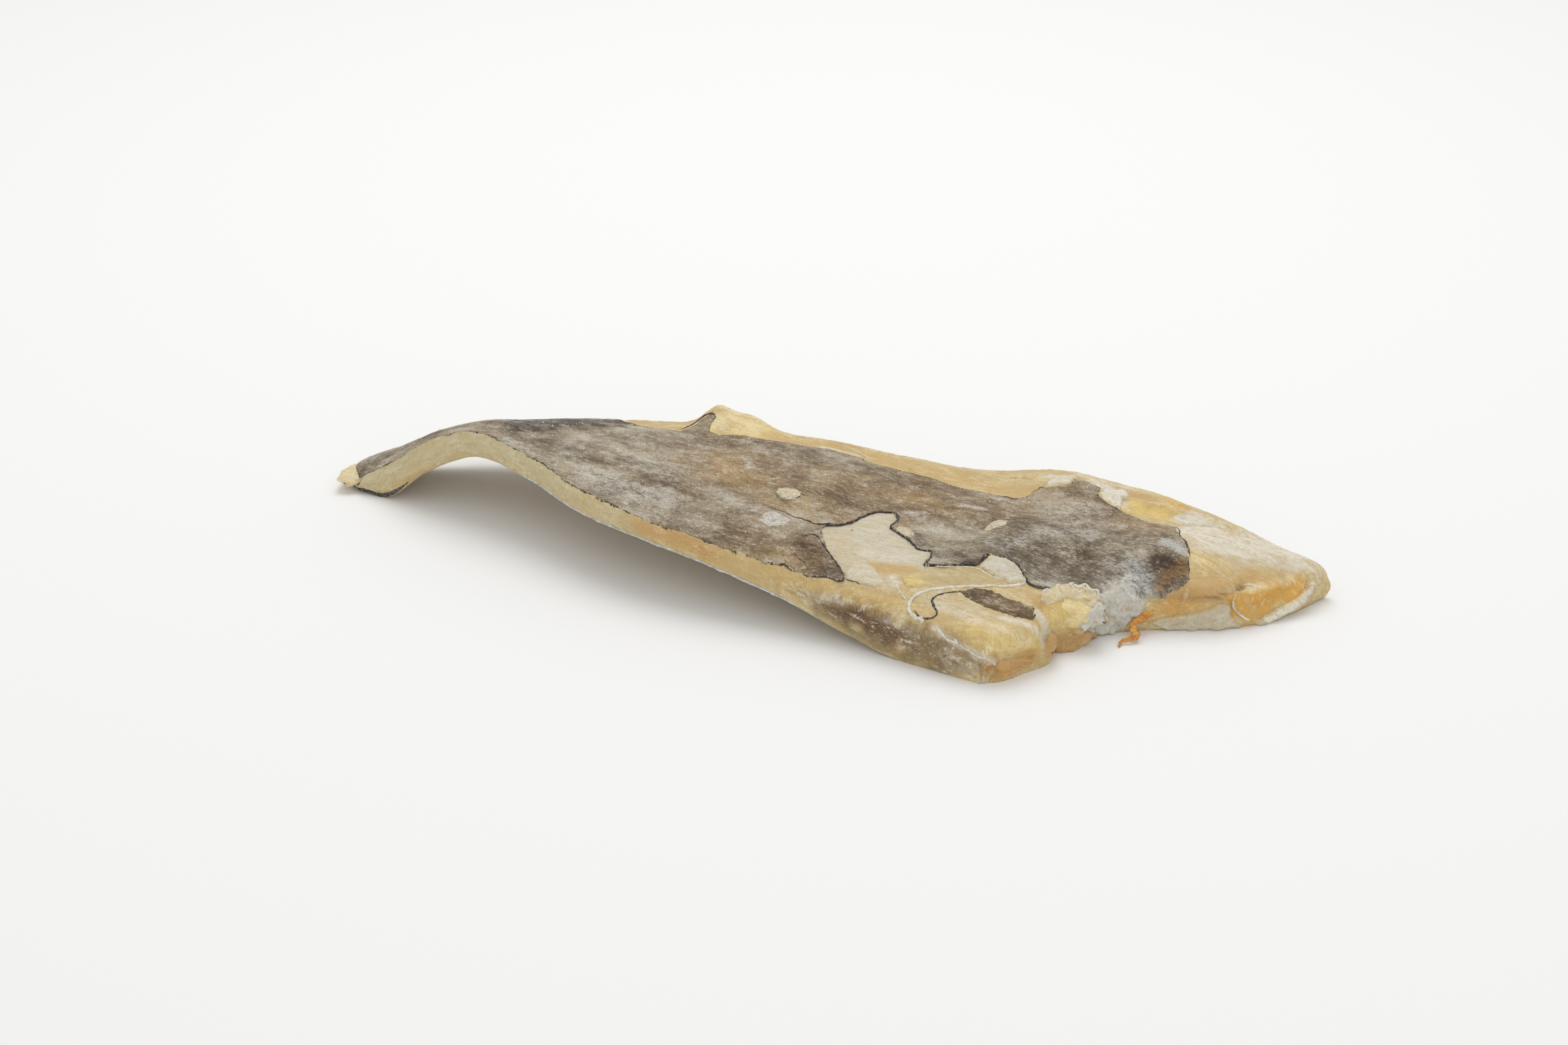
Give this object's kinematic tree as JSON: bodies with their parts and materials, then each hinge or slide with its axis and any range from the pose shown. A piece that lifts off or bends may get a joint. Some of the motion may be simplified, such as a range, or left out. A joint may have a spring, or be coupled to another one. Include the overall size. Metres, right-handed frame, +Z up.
{
  "type": "salted dried cod",
  "caption": "One side of salted dried cod lying skin up, stiff and gently arched, with a cut edge, a torn patch of skin and a ragged wide end.",
  "frame": {"origin": "middle of the bounding box, on the surface that the piece rests on", "axes": "+X along the fish from the narrow end to the torn wide end, +Y from the cut front edge to the back edge, +Z up from the resting surface to the skin"},
  "size_m": [0.5222, 0.1762, 0.0512],
  "materials": {
    "cod": "matt mottled fish skin over waxy cream flesh"
  },
  "bodies": {
    "root": {"cod": "cod"}
  },
  "joints": []
}
